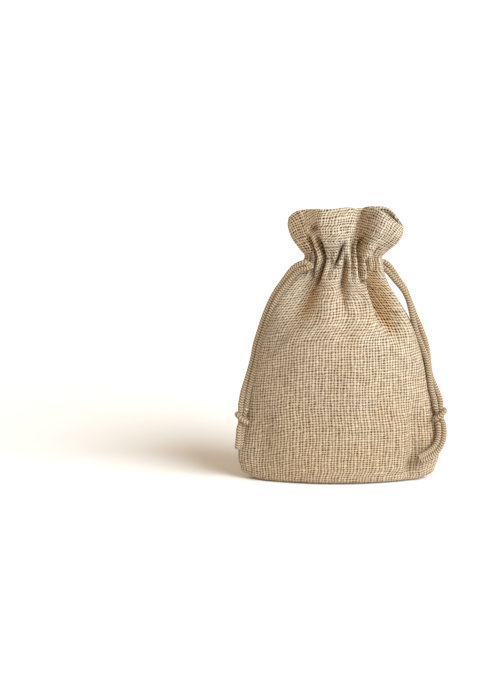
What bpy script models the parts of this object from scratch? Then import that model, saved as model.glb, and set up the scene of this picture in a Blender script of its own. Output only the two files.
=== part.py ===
"""A small drawstring sack of plain-woven burlap. It stands filled out, with its neck drawn together by two cords."""

import math
from collections import namedtuple

import bmesh
import bpy
import numpy as np

MM = 0.001

# Driving dimensions, in millimetres unless named otherwise.
PANEL_WIDTH = 100.0        # the flat sack between its side seams
CLOTH = 1.0                # thickness of the cloth
NECK_HEIGHT = 104.0        # where the drawstrings draw it together
SEAM_ROUND = 1.9           # half the thickness of the folded side seam
COLUMNS = 96               # points round the cloth
CORD = 2.6                 # diameter of the braided cord
PIECE_GAP = 0.3            # gap between pieces that touch
KNOT_STEP = 0.6            # size of the facets on a knot

# The neck up to the ruffled edge is told by its share of the header, below it by its height.
Section = namedtuple("Section", "height left right front back roundness")
BODY = [
    Section(2.4, -46.4, 45.4, 14.4, 14.0, 0.95),
    Section(6.0, -47.4, 46.6, 15.2, 14.8, 0.92),
    Section(12.0, -47.4, 47.4, 15.9, 15.6, 0.88),
    Section(20.0, -46.2, 46.0, 16.7, 16.6, 0.82),
    Section(29.0, -45.2, 44.4, 17.6, 17.8, 0.74),
    Section(38.0, -43.5, 43.0, 19.6, 19.8, 0.64),
    Section(46.0, -41.2, 40.8, 21.6, 21.8, 0.56),
    Section(54.0, -39.3, 40.0, 23.6, 23.6, 0.51),
    Section(62.0, -37.9, 38.2, 24.9, 25.6, 0.50),
    Section(69.0, -35.8, 34.9, 25.6, 26.2, 0.50),
    Section(76.0, -33.0, 31.8, 25.3, 25.8, 0.50),
    Section(82.5, -30.9, 28.9, 24.3, 24.3, 0.50),
    Section(88.5, -28.0, 25.4, 21.8, 21.2, 0.50),
    Section(94.0, -23.8, 22.2, 17.8, 17.2, 0.50),
    Section(99.0, -19.0, 20.8, 13.8, 13.2, 0.50),
]
HEADER = [
    Section(0.00, -16.9, 20.4, 11.4, 11.0, 0.50),
    Section(0.12, -16.1, 19.9, 11.2, 10.8, 0.50),
    Section(0.28, -18.7, 22.4, 11.4, 10.9, 0.52),
    Section(0.48, -21.6, 26.0, 11.6, 10.8, 0.56),
    Section(0.70, -23.6, 28.3, 11.6, 10.4, 0.60),
    Section(0.88, -24.2, 29.0, 11.2, 10.0, 0.62),
    Section(1.00, -23.8, 28.8, 10.8, 9.6, 0.62),
]

# The flat base: shares of the lowest section, from the bottom fold out to the edge.
BaseRow = namedtuple("BaseRow", "across deep")
BASE = [BaseRow(0.915, 0.0), BaseRow(0.935, 0.36), BaseRow(0.955, 0.72), BaseRow(0.978, 0.93)]
CORNER_LIFT = 2.6          # how far the bottom corners stand off the surface
CORNER_START = 37.0        # and where they begin to lift, from the middle

# Height of the ruffled edge, by place round the cloth: 0 and 100 are the side seams, 50 mid front.
Rim = namedtuple("Rim", "place height")
RIM = [
    Rim(0, 124.6), Rim(9, 127.4), Rim(20, 129.2), Rim(34, 129.4), Rim(50, 131.0), Rim(64, 130.4),
    Rim(76, 129.4), Rim(88, 126.2), Rim(96, 122.2), Rim(103, 122.0), Rim(110, 125.4), Rim(118, 128.6),
    Rim(127, 128.8), Rim(138, 126.4), Rim(155, 125.4), Rim(172, 125.8), Rim(188, 124.8),
]

# Folds, as troughs in the cloth: a negative depth is a ridge. They fade in from foot to low, and out
# from high to head, and drift round the cloth by the slant for each millimetre below the neck.
Fold = namedtuple("Fold", "name place width depth foot low high head slant")
FOLDS = [
    Fold("pucker by the left seam, front", 17.0, 4.4, 1.9, 82, 97, 108, 120, 0.00),
    Fold("long left valley", 30.8, 4.6, 3.0, 58, 88, 110, 124, 0.06),
    Fold("left diagonal pucker", 42.6, 3.8, 1.5, 92, 101, 107, 116, 0.10),
    Fold("middle notch", 52.8, 4.0, 2.2, 80, 97, 106, 114, 0.00),
    Fold("ruffle's dark valley", 63.0, 4.2, 2.4, 92, 101, 118, 150, 0.00),
    Fold("long right valley", 74.0, 5.0, 2.4, 62, 80, 106, 114, -0.10),
    Fold("pucker by the right seam, front", 87.0, 4.2, 1.7, 84, 98, 108, 118, 0.00),
    Fold("left lobe's edge", 33.0, 6.0, 2.4, 108, 118, 140, 150, 0.00),
    Fold("right lobe's edge", 63.5, 7.0, 2.6, 106, 116, 140, 150, 0.00),
    Fold("right seam, back pucker", 112.5, 4.4, 1.9, 84, 98, 108, 120, 0.00),
    Fold("back valley 1", 125.0, 4.8, 2.6, 64, 90, 112, 128, 0.05),
    Fold("back valley 2", 136.5, 4.2, 1.8, 82, 97, 108, 118, 0.00),
    Fold("back valley 3", 148.0, 4.8, 2.8, 58, 88, 116, 150, -0.04),
    Fold("back valley 4", 160.0, 4.4, 2.0, 84, 98, 107, 116, 0.00),
    Fold("back valley 5", 172.0, 4.8, 2.6, 60, 90, 112, 126, 0.04),
    Fold("left seam, back pucker", 186.0, 4.4, 1.9, 84, 98, 108, 120, 0.00),
    Fold("back lobe's edge", 126.0, 7.0, 2.2, 110, 120, 140, 150, 0.00),
    Fold("back lobe's edge, left", 170.0, 8.0, 2.0, 110, 120, 140, 150, 0.00),
    Fold("bright front ridge", 45.5, 5.4, -1.1, 64, 80, 94, 102, -0.02),
    Fold("right ridge", 63.5, 4.6, -1.1, 64, 80, 94, 101, -0.04),
    Fold("ridge by the right seam", 80.5, 4.8, -0.9, 60, 76, 92, 100, 0.00),
    Fold("right corner's valley", 86.5, 4.2, 1.6, 1, 10, 26, 40, 0.00),
    Fold("left corner's valley", 13.0, 5.0, 1.0, 1, 10, 24, 40, 0.00),
    Fold("back right corner's valley", 112.0, 4.6, 1.2, 1, 10, 26, 40, 0.00),
    Fold("back left corner's valley", 188.0, 4.6, 1.0, 1, 10, 26, 40, 0.00),
]

# Routes of the cord pairs, as the line midway between two strands. The turn, in degrees, is 0 where
# the strands lie side by side as seen from the front and 90 where one lies behind the other.
Pair = namedtuple("Pair", "across depth height turn")
RIGHT_LEGS = [
    Pair(23.4, -0.4, 101.2, 0), Pair(26.3, -0.8, 95.8, 10), Pair(29.4, -1.0, 90.6, 25),
    Pair(32.4, -1.2, 85.2, 45), Pair(35.3, -1.3, 78.6, 58), Pair(38.0, -1.4, 71.4, 62),
    Pair(40.3, -1.6, 64.4, 66), Pair(42.0, -1.9, 57.4, 68), Pair(43.1, -2.2, 50.6, 60),
    Pair(44.6, -2.8, 44.2, 35), Pair(46.6, -3.6, 36.7, 10),
]
LEFT_LEGS = [
    Pair(-18.4, -5.8, 102.6, 0), Pair(-21.2, -3.8, 101.2, 5), Pair(-24.4, -2.4, 98.8, 10),
    Pair(-27.4, -1.6, 95.0, 15), Pair(-30.6, -1.3, 90.6, 30), Pair(-33.2, -1.2, 85.6, 48),
    Pair(-35.8, -1.3, 79.6, 60), Pair(-37.9, -1.4, 72.4, 64), Pair(-39.8, -1.6, 64.8, 66),
    Pair(-41.4, -1.9, 57.0, 66), Pair(-43.0, -2.3, 49.4, 60), Pair(-44.8, -3.0, 42.0, 40),
    Pair(-46.8, -4.1, 34.2, 15),
]
RIGHT_TAILS = [
    Pair(48.1, -3.9, 29.7, 70), Pair(49.2, -4.0, 24.0, 70), Pair(48.4, -4.6, 19.2, 50),
    Pair(46.2, -5.9, 15.2, 10), Pair(43.4, -7.2, 12.4, 5), Pair(40.0, -8.9, 10.7, 20),
    Pair(36.6, -10.6, 9.8, 60),
]
LEFT_TAILS = [
    Pair(-47.1, -4.9, 27.4, 60), Pair(-47.6, -5.2, 21.0, 60), Pair(-47.9, -5.4, 15.2, 60),
]
Knot = namedtuple("Knot", "across depth height width deep tall lean")
RIGHT_KNOT = Knot(47.0, -4.0, 33.1, 7.8, 5.6, 6.8, 28.0)
LEFT_KNOT = Knot(-47.0, -4.7, 30.9, 6.8, 5.4, 6.7, -12.0)

CLOTH_COLOUR = (0.62, 0.47, 0.30)   # light jute
CORD_COLOUR = (0.55, 0.42, 0.29)


def clear_scene():
    for thing in list(bpy.data.objects):
        bpy.data.objects.remove(thing, do_unlink=True)


def smoothstep(low, high, value):
    """0 below low, 1 above high and a soft step between them."""
    share = np.clip((np.asarray(value, float) - low) / (high - low), 0.0, 1.0)
    return share * share * (3.0 - 2.0 * share)


def matt_material(name, colour, roughness):
    material = bpy.data.materials.new(name)
    material.use_nodes = True
    shader = material.node_tree.nodes["Principled BSDF"]
    shader.inputs["Base Color"].default_value = (*colour, 1.0)
    shader.inputs["Roughness"].default_value = roughness
    material.diffuse_color = (*colour, 1.0)
    return material


def rim_heights(places):
    """Height of the ruffled edge at each place round the cloth, rounded off between the table's rows."""
    around = 2.0 * PANEL_WIDTH
    soft = 4.0
    total = np.zeros_like(places)
    for shift in (-soft, 0.0, soft):
        total += np.interp(places + shift, [r.place for r in RIM], [r.height for r in RIM], period=around)
    return total / 3.0


def half_outline(section, deep):
    """Front or back half of a level section, from the left seam to the right one, points unevenly spaced."""
    middle = (section.left + section.right) / 2.0
    reach = (section.right - section.left) / 2.0 - SEAM_ROUND
    power = 2.0 * section.roundness
    turn = np.linspace(0.01, math.pi - 0.01, 400)
    core = np.stack([-reach * np.cos(turn), (deep - SEAM_ROUND) * np.sin(turn) ** power], axis=1)
    along = np.stack([
        reach * np.sin(turn),
        (deep - SEAM_ROUND) * power * np.sin(turn) ** (power - 1.0) * np.cos(turn),
    ], axis=1)
    along /= np.linalg.norm(along, axis=1, keepdims=True)
    outward = np.stack([-along[:, 1], along[:, 0]], axis=1)
    points = core + SEAM_ROUND * outward
    ends = []
    for tip, normal, side in ((core[0], outward[0], -1.0), (core[-1], outward[-1], 1.0)):
        start = math.pi if side < 0 else 0.0
        angles = np.linspace(start, math.atan2(normal[1], normal[0]), 12)
        arc = tip + SEAM_ROUND * np.stack([np.cos(angles), np.sin(angles)], axis=1)
        ends.append(arc if side < 0 else arc[::-1])
    points = np.concatenate([ends[0][:-1], points, ends[1][1:]])
    points[:, 0] += middle
    return points


def evenly_spaced(points, count):
    """The first count of count + 1 points at even steps along a line of points."""
    steps = np.linalg.norm(np.diff(points, axis=0), axis=1)
    length = np.concatenate([[0.0], np.cumsum(steps)])
    wanted = np.linspace(0.0, length[-1], count + 1)[:-1]
    return np.stack([np.interp(wanted, length, points[:, axis]) for axis in range(points.shape[1])], axis=1)


def level_outline(section):
    """The closed outline of a section, anticlockwise from the left seam along the front."""
    front = half_outline(section, section.front) * np.array([1.0, -1.0])
    back = half_outline(section, section.back)[::-1]
    half = COLUMNS // 2
    return np.concatenate([evenly_spaced(front, half), evenly_spaced(back, half)])


def fold_depths(places, heights):
    """How far the folds press the cloth inwards at each column of one row."""
    around = 2.0 * PANEL_WIDTH
    depth = np.zeros_like(places)
    for fold in FOLDS:
        middle = fold.place + fold.slant * (NECK_HEIGHT - heights)
        away = (places - middle + around / 2.0) % around - around / 2.0
        across = np.exp(-(away / fold.width) ** 2)
        run = smoothstep(fold.foot, fold.low, heights) * (1.0 - smoothstep(fold.high, fold.head, heights))
        depth += fold.depth * across * run
    return depth


def pressed(outline, depths):
    """Moves each point of a closed outline inwards, square to the outline."""
    along = np.roll(outline, -1, axis=0) - np.roll(outline, 1, axis=0)
    along /= np.linalg.norm(along, axis=1, keepdims=True)
    inward = np.stack([-along[:, 1], along[:, 0]], axis=1)
    return outline + inward * depths[:, None]


def corner_lift(across, height):
    """The bottom corners stand a little off the surface."""
    rise = CORNER_LIFT * smoothstep(CORNER_START, CORNER_START + 11.0, np.abs(across))
    return rise * (1.0 - smoothstep(2.0, 24.0, height))


def cloth_rows():
    """Rows of points from the bottom fold up to the ruffled edge, each once round the sack."""
    places = np.arange(COLUMNS) * 2.0 * PANEL_WIDTH / COLUMNS
    rim = rim_heights(places)
    rows = []
    lowest = level_outline(BODY[0])
    middle = (BODY[0].left + BODY[0].right) / 2.0
    facing = -np.arange(COLUMNS) % COLUMNS
    for row in BASE:
        share = 1.0 - row.deep
        across = lowest[:, 0] * (1.0 - share / 2.0) + lowest[facing, 0] * share / 2.0
        across = middle + (across - middle) * row.across
        rows.append(np.stack([across, lowest[:, 1] * row.deep, corner_lift(across, 0.0)], axis=1))
    for section in BODY:
        heights = np.full(COLUMNS, section.height)
        outline = pressed(level_outline(section), fold_depths(places, heights))
        rows.append(np.column_stack([outline, heights + corner_lift(outline[:, 0], heights)]))
    for section in HEADER:
        heights = NECK_HEIGHT + (rim - NECK_HEIGHT) * section.height
        outline = pressed(level_outline(section), fold_depths(places, heights))
        rows.append(np.column_stack([outline, heights]))
    return rows


def make_cloth(collection):
    mesh = bmesh.new()
    rings = [[mesh.verts.new(point * MM) for point in row] for row in cloth_rows()]
    for lower, upper in zip(rings, rings[1:]):
        for i in range(COLUMNS):
            j = (i + 1) % COLUMNS
            mesh.faces.new((lower[i], lower[j], upper[j], upper[i]))
    bmesh.ops.remove_doubles(mesh, verts=rings[0], dist=0.01 * MM)
    bmesh.ops.recalc_face_normals(mesh, faces=mesh.faces)
    data = bpy.data.meshes.new("sack_cloth")
    mesh.to_mesh(data)
    mesh.free()
    data.shade_smooth()
    sack = bpy.data.objects.new("sack_cloth", data)
    collection.objects.link(sack)
    wall = sack.modifiers.new("cloth thickness", "SOLIDIFY")
    wall.thickness = CLOTH * MM
    wall.offset = -1.0
    wall.use_even_offset = True
    wall.use_rim = True
    sack.data.materials.append(matt_material("woven jute", CLOTH_COLOUR, 0.92))
    return sack


def smooth_line(points, spacing):
    """Points about one spacing apart on a Catmull-Rom curve through the given ones."""
    points = np.array(points, float)
    padded = np.vstack([2 * points[0] - points[1], points, 2 * points[-1] - points[-2]])
    dense = []
    for i in range(1, len(padded) - 2):
        a, b, c, d = padded[i - 1:i + 3]
        for t in np.linspace(0.0, 1.0, 20, endpoint=False):
            dense.append(0.5 * (
                2 * b + (c - a) * t + (2 * a - 5 * b + 4 * c - d) * t ** 2 + (3 * b - a - 3 * c + d) * t ** 3
            ))
    dense.append(points[-1])
    dense = np.array(dense)
    length = np.linalg.norm(np.diff(dense, axis=0), axis=1).sum()
    count = max(3, round(length / spacing))
    return np.vstack([evenly_spaced(dense, count), dense[-1]])


def strand_route(pairs, side):
    """Route of one strand of a pair: side is -1 for the left or front one and 1 for the other."""
    middle = np.array([(p.across, p.depth, p.height) for p in pairs])
    along = np.gradient(middle, axis=0)
    along /= np.linalg.norm(along, axis=1, keepdims=True)
    beside = np.cross(np.array([0.0, 1.0, 0.0]), along)
    beside /= np.linalg.norm(beside, axis=1, keepdims=True)
    beside *= np.where(beside[:, :1] < 0.0, -1.0, 1.0)
    behind = np.cross(along, beside)
    behind *= np.where(behind[:, 1:2] < 0.0, -1.0, 1.0)
    turn = np.radians([p.turn for p in pairs])[:, None]
    apart = (CORD + PIECE_GAP) / 2.0
    return middle + side * apart * (np.cos(turn) * beside + np.sin(turn) * behind)


def make_strand(name, pairs, side, shorten, material, collection):
    """A braided cord along one strand of a pair, its free end cut back by the given length."""
    points = smooth_line(strand_route(pairs, side), 2.2 * CORD)
    if shorten:
        last = points[-1] - points[-2]
        points[-1] = points[-1] - last * min(0.8, shorten / np.linalg.norm(last))
    curve = bpy.data.curves.new(name, "CURVE")
    curve.dimensions = "3D"
    curve.bevel_depth = CORD / 2.0 * MM
    curve.bevel_resolution = 2
    curve.use_fill_caps = True
    line = curve.splines.new("POLY")
    line.points.add(len(points) - 1)
    for point, place in zip(line.points, points):
        point.co = (*(place * MM), 1.0)
    curve.materials.append(material)
    strand = bpy.data.objects.new(name, curve)
    collection.objects.link(strand)
    return strand


def make_knot(name, knot, material, collection):
    """An overhand knot drawn tight: three crossing turns of the cord that have run into one lump."""
    turns = 42
    line = bpy.data.curves.new(name, "CURVE")
    line.dimensions = "3D"
    line.bevel_depth = CORD / 2.0 * MM
    line.bevel_resolution = 3
    spline = line.splines.new("POLY")
    spline.points.add(turns - 1)
    spline.use_cyclic_u = True
    across = (knot.width - CORD) / 6.0
    upright = (knot.tall - CORD) / 6.0
    deep = (knot.deep - CORD) / 2.0
    lean = math.radians(knot.lean)
    for i, point in enumerate(spline.points):
        t = 2.0 * math.pi * i / turns
        x = across * (math.sin(t) + 2.0 * math.sin(2.0 * t))
        z = upright * (math.cos(t) - 2.0 * math.cos(2.0 * t))
        y = -deep * math.sin(3.0 * t)
        turned = (x * math.cos(lean) - z * math.sin(lean), y, x * math.sin(lean) + z * math.cos(lean))
        place = np.array(turned) + (knot.across, knot.depth, knot.height)
        point.co = (*(place * MM), 1.0)
    line.materials.append(material)
    lump = bpy.data.objects.new(name, line)
    collection.objects.link(lump)
    fused = lump.modifiers.new("turns run together", "REMESH")
    fused.mode = "VOXEL"
    fused.voxel_size = KNOT_STEP * MM
    fused.use_smooth_shade = True
    return lump


def build():
    clear_scene()
    parts = bpy.data.collections.new("burlap drawstring sack")
    bpy.context.scene.collection.children.link(parts)
    make_cloth(parts)
    braid = matt_material("braided cord", CORD_COLOUR, 0.85)
    for name, legs, side in (
        ("cord_right_front", RIGHT_LEGS, -1), ("cord_right_back", RIGHT_LEGS, 1),
        ("cord_left_front", LEFT_LEGS, -1), ("cord_left_back", LEFT_LEGS, 1),
    ):
        make_strand(name, legs, side, 0.0, braid, parts)
    for name, tails, side, shorten in (
        ("tail_right_upper", RIGHT_TAILS, -1, 0.0), ("tail_right_lower", RIGHT_TAILS, 1, 1.5),
        ("tail_left_front", LEFT_TAILS, -1, 0.0), ("tail_left_back", LEFT_TAILS, 1, 1.2),
    ):
        make_strand(name, tails, side, shorten, braid, parts)
    make_knot("knot_right", RIGHT_KNOT, braid, parts)
    make_knot("knot_left", LEFT_KNOT, braid, parts)


build()
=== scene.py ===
# %% [markdown]
# # A small drawstring sack of plain-woven burlap
# The sack stands filled out on a pale floor. Its neck is drawn together by two cords, which come out
# at the side seams, hang down the sides and end in an overhand knot with two short tails each.
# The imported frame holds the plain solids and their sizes. This lesson dresses them: a fine sheet of
# cloth with its pleats and hem, four braided strands, and the woven and braided finishes.

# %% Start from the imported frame
import math
from collections import namedtuple

import bmesh
import bpy
import numpy as np
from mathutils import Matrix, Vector


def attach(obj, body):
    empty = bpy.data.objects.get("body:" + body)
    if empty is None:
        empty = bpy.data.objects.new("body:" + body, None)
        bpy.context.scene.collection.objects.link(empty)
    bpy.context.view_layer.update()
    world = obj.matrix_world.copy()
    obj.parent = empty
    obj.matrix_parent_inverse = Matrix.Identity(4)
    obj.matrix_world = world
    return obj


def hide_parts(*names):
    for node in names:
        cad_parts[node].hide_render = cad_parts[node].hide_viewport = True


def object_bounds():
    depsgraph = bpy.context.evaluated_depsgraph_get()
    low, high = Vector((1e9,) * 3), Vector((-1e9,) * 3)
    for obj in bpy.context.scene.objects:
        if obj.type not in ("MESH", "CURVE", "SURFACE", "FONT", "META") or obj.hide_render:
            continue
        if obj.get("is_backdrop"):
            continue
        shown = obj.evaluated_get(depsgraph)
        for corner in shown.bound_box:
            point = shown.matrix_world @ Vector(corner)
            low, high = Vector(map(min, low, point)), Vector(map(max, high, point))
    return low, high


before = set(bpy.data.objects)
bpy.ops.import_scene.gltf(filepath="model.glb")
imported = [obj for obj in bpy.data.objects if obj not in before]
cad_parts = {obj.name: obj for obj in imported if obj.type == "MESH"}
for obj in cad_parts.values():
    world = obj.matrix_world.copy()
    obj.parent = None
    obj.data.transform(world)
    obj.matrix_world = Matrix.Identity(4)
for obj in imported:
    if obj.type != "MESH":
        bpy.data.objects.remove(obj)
cad_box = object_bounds()
BODY_NAME = "root"
MM = 0.001
print("solids:", ", ".join(sorted(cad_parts)))
print("solids' box in mm:", [[round(c / MM, 1) for c in corner] for corner in cad_box])

# %% [markdown]
# ## The camera
# The photograph looks a little down on the front of the sack, from far away. A long lens keeps the
# sides nearly parallel, as there. The sack stands right of the picture's middle, so the camera looks
# at a point left of it. It is made first, because the cords are measured against its view.

# %% Camera
ELEVATION = math.radians(11.0)   # how far the camera looks down
PIXEL = 0.47                     # millimetres of the object to one pixel of the picture
PICTURE = (477, 681)             # pixels across and up
LENS, SENSOR = 120.0, 36.0
AIM = (-47.5, 0.0, 66.2)         # the point in the middle of the picture, in millimetres

eye = bpy.data.cameras.new("camera")
eye.lens, eye.sensor_width = LENS, SENSOR
eye.clip_start, eye.clip_end = 0.01, 20.0
camera = bpy.data.objects.new("camera", eye)
bpy.context.scene.collection.objects.link(camera)
bpy.context.scene.camera = camera
distance = PICTURE[1] * PIXEL * LENS / SENSOR * MM
back = Vector((0.0, -math.cos(ELEVATION), math.sin(ELEVATION)))
camera.location = Vector(AIM) * MM + back * distance
camera.rotation_euler = (math.pi / 2 - ELEVATION, 0.0, 0.0)
print(f"camera {distance:.2f} m away")


# %% [markdown]
# ## Lines through a few points
# A Catmull-Rom curve passes through every point of a table and bends softly between them, and it is
# then cut into even steps.

# %% Helpers for lines
def evenly_spaced(points, count):
    """count points at even steps along a line of points, both ends included."""
    steps = np.linalg.norm(np.diff(points, axis=0), axis=1)
    length = np.concatenate([[0.0], np.cumsum(steps)])
    wanted = np.linspace(0.0, length[-1], count)
    return np.stack([np.interp(wanted, length, points[:, k]) for k in range(points.shape[1])], axis=1)


def smooth_line(points, spacing):
    """Points about one spacing apart on a Catmull-Rom curve through the given ones."""
    points = np.array(points, float)
    padded = np.vstack([2 * points[0] - points[1], points, 2 * points[-1] - points[-2]])
    dense = []
    for a, b, c, d in zip(padded, padded[1:], padded[2:], padded[3:]):
        for t in np.linspace(0.0, 1.0, 24, endpoint=False):
            dense.append(0.5 * (
                2 * b + (c - a) * t + (2 * a - 5 * b + 4 * c - d) * t ** 2
                + (3 * b - a - 3 * c + d) * t ** 3
            ))
    dense = np.array(dense + [points[-1]])
    length = np.linalg.norm(np.diff(dense, axis=0), axis=1).sum()
    return evenly_spaced(dense, max(4, round(length / spacing)) + 1)


def eased(points, reach):
    """A line with its kinks averaged away over reach points to each side; its ends stay."""
    weights = np.exp(-2.0 * (np.arange(-reach, reach + 1) / reach) ** 2)
    weights /= weights.sum()
    head = 2 * points[0] - points[reach:0:-1]
    tail = 2 * points[-1] - points[-2:-reach - 2:-1]
    padded = np.vstack([head, points, tail])
    soft = np.stack([np.convolve(padded[:, k], weights, "valid") for k in range(3)], axis=1)
    return evenly_spaced(soft, len(points))


def line_length(points):
    return float(np.linalg.norm(np.diff(points, axis=0), axis=1).sum())


# %% [markdown]
# ## The drawstring cords
# Two cords run through the hem at the neck. Each comes out at a side seam as a pair of strands that
# hang down the side, and each pair is tied in an overhand knot. The tables give the line midway
# between the two strands as the photograph shows it, a few millimetres off the solids in places. The
# turn is 0 where the strands lie side by side as seen from the front, and 90 where the left one lies
# in front. A negative turn puts the right one in front. A simulated cord would find its own way, so
# the points are listed.

# %% Routes of the cords
CORD = 2.6         # diameter of the braided cord
PAIR_GAP = 0.05    # gap between the strands of a pair
Pair = namedtuple("Pair", "across depth height turn")
RIGHT_LEGS = [
    Pair(15.0, 1.2, 102.2, 0), Pair(19.2, 0.5, 102.4, 10), Pair(22.4, -0.4, 100.6, 38),
    Pair(26.4, -1.0, 95.4, 60), Pair(30.0, -1.6, 90.6, 74), Pair(32.2, -2.0, 85.6, 80),
    Pair(34.4, -2.8, 78.8, 60), Pair(37.0, -4.2, 71.4, 24), Pair(39.6, -3.6, 64.4, 40),
    Pair(41.3, -2.7, 57.4, 70), Pair(42.4, -2.3, 50.6, 76), Pair(44.1, -2.8, 44.2, 42),
    Pair(46.2, -3.4, 38.2, 14),
]
LEFT_LEGS = [
    Pair(-13.0, -6.2, 102.6, 0), Pair(-16.0, -6.4, 102.8, 0), Pair(-18.4, -5.9, 102.4, -6),
    Pair(-21.0, -4.8, 100.6, -18), Pair(-23.4, -4.0, 97.8, -32), Pair(-25.8, -3.5, 94.4, -44),
    Pair(-28.8, -3.1, 90.2, -48), Pair(-31.4, -2.9, 85.4, -46), Pair(-33.9, -2.8, 79.4, -44),
    Pair(-36.2, -2.8, 72.4, -42), Pair(-38.5, -2.9, 64.8, -42), Pair(-40.0, -3.0, 57.0, -42),
    Pair(-42.0, -3.0, 49.4, -36), Pair(-44.0, -3.2, 42.0, -10), Pair(-45.2, -3.8, 36.0, 18),
]
RIGHT_TAILS = [
    Pair(47.9, -4.2, 26.6, 20), Pair(48.2, -4.4, 23.0, 14), Pair(47.7, -4.9, 19.2, 14),
    Pair(46.0, -6.0, 15.9, 10), Pair(43.0, -7.6, 13.5, 10), Pair(39.7, -9.3, 12.1, 20),
    Pair(36.4, -11.0, 11.4, 50),
]
LEFT_TAILS = [
    Pair(-46.4, -4.9, 24.6, 50), Pair(-46.8, -5.2, 20.4, 56), Pair(-47.4, -5.4, 15.0, 60),
]


def strand_route(pairs, side):
    """One strand of a pair: side is -1 for the left or front strand and 1 for the other."""
    middle = np.array([(p.across, p.depth, p.height) for p in pairs])
    along = np.gradient(middle, axis=0)
    along /= np.linalg.norm(along, axis=1, keepdims=True)
    beside = np.cross((0.0, 1.0, 0.0), along)
    beside /= np.linalg.norm(beside, axis=1, keepdims=True)
    beside *= np.where(beside[:, :1] < 0.0, -1.0, 1.0)
    behind = np.cross(along, beside)
    behind *= np.where(behind[:, 1:2] < 0.0, -1.0, 1.0)
    turn = np.radians([p.turn for p in pairs])[:, None]
    apart = (CORD + PAIR_GAP) / 2.0
    return middle + side * apart * (np.cos(turn) * beside + np.sin(turn) * behind)


# %% [markdown]
# The overhand knot is drawn once, in cord diameters from its middle. One strand runs down through
# the core. The other turns out at the lower left, crosses the front in a band that climbs to the
# right, goes round the back and leaves downwards. The left knot is the same one, mirrored.

# %% The overhand knot
Turn = namedtuple("Turn", "across depth height")
KNOT_BAND = [
    Turn(-0.62, -0.02, 2.05), Turn(-0.50, -0.02, 1.25), Turn(-0.44, 0.12, 0.55),
    Turn(-0.56, 0.24, -0.12), Turn(-1.00, 0.16, -0.62), Turn(-1.42, -0.40, -0.84),
    Turn(-1.04, -1.06, -0.68), Turn(-0.05, -1.24, -0.20), Turn(0.82, -1.02, 0.28),
    Turn(1.30, -0.30, 0.60), Turn(1.06, 0.60, 0.58), Turn(0.26, 1.06, 0.36),
    Turn(-0.50, 1.06, 0.02), Turn(-0.90, 0.84, -0.54), Turn(-0.74, 0.56, -1.08),
    Turn(-0.66, 0.28, -1.60),
]
KNOT_CORE = [
    Turn(0.52, 0.05, 1.25), Turn(0.50, -0.02, 0.60), Turn(0.42, -0.06, 0.0),
    Turn(0.30, -0.14, -0.60), Turn(0.12, -0.26, -1.20),
]
Knot = namedtuple("Knot", "across depth height lean mirrored size")
RIGHT_KNOT = Knot(47.3, -4.2, 31.9, 14.0, 1, 0.80)
LEFT_KNOT = Knot(-45.9, -4.8, 30.2, -10.0, -1, 0.78)
KNOT_SQUEEZE = 0.16   # how much thinner the soft cord is where the knot pulls it tight
KNOT_REACH = 1.6      # cord diameters from the knot's middle within which it is
BEND_EASE = 5         # rings over which a bend is eased, as the cord is too thick for a kink


def knot_route(turns, knot):
    """The knot's turns in millimetres, at its place and leaning as it does."""
    points = np.array(turns) * CORD * knot.size * (knot.mirrored, 1.0, 1.0)
    lean = math.radians(knot.lean)
    across = points[:, 0] * math.cos(lean) - points[:, 2] * math.sin(lean)
    height = points[:, 0] * math.sin(lean) + points[:, 2] * math.cos(lean)
    return np.stack([across, points[:, 1], height], axis=1) + (knot.across, knot.depth, knot.height)


# %% [markdown]
# The cord is a solid round braid. Its plaits lie side by side in three ribbed rows along the cord,
# and each row's ribs lean the other way on its two sides, like chevrons. Each strand is a tube of
# rings that swell at every rib, so the ribs follow it round every bend. Its UV map is in millimetres
# along and round the cord.

# %% The braided tube
ROWS_ROUND = 3     # rows of chevrons round the cord
RIB_PITCH = 1.2    # millimetres from one rib to the next
CHEVRON = 0.9      # how far a rib leans along the cord, in rib pitches
RIB = 0.035        # how far a plait swells the cord, as a share of the radius
RING_STEP = 0.27   # millimetres between rings
SIDES = 24         # points of a ring
END_SIZE = 0.55    # the radius at the very end, as a share of the cord's
END_ROUND = 0.35   # the length of the rounded end, in cord diameters


def ring_frames(path):
    """Two directions square to the path at each point, carried along without twisting."""
    along = np.gradient(path, axis=0)
    along /= np.linalg.norm(along, axis=1, keepdims=True)
    first = np.cross(along[0], (0.0, 1.0, 0.0))
    sides = [first / np.linalg.norm(first)]
    for tangent in along[1:]:
        side = sides[-1] - tangent * (sides[-1] @ tangent)
        sides.append(side / np.linalg.norm(side))
    sides = np.array(sides)
    return sides, np.cross(along, sides)


def skin(mesh, rings):
    """Joins rings of points with faces, and gives each face's corners with their ring and column."""
    for r in range(len(rings) - 1):
        for s in range(len(rings[0])):
            t = (s + 1) % len(rings[0])
            face = mesh.faces.new((rings[r][s], rings[r][t], rings[r + 1][t], rings[r + 1][s]))
            yield from zip(face.loops, ((r, s), (r, s + 1), (r + 1, s + 1), (r + 1, s)))


def built(name, mesh):
    """The smooth object of a finished mesh, put in the scene."""
    bmesh.ops.recalc_face_normals(mesh, faces=mesh.faces)
    data = bpy.data.meshes.new(name)
    mesh.to_mesh(data)
    mesh.free()
    data.shade_smooth()
    made = bpy.data.objects.new(name, data)
    bpy.context.scene.collection.objects.link(made)
    return made


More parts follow.
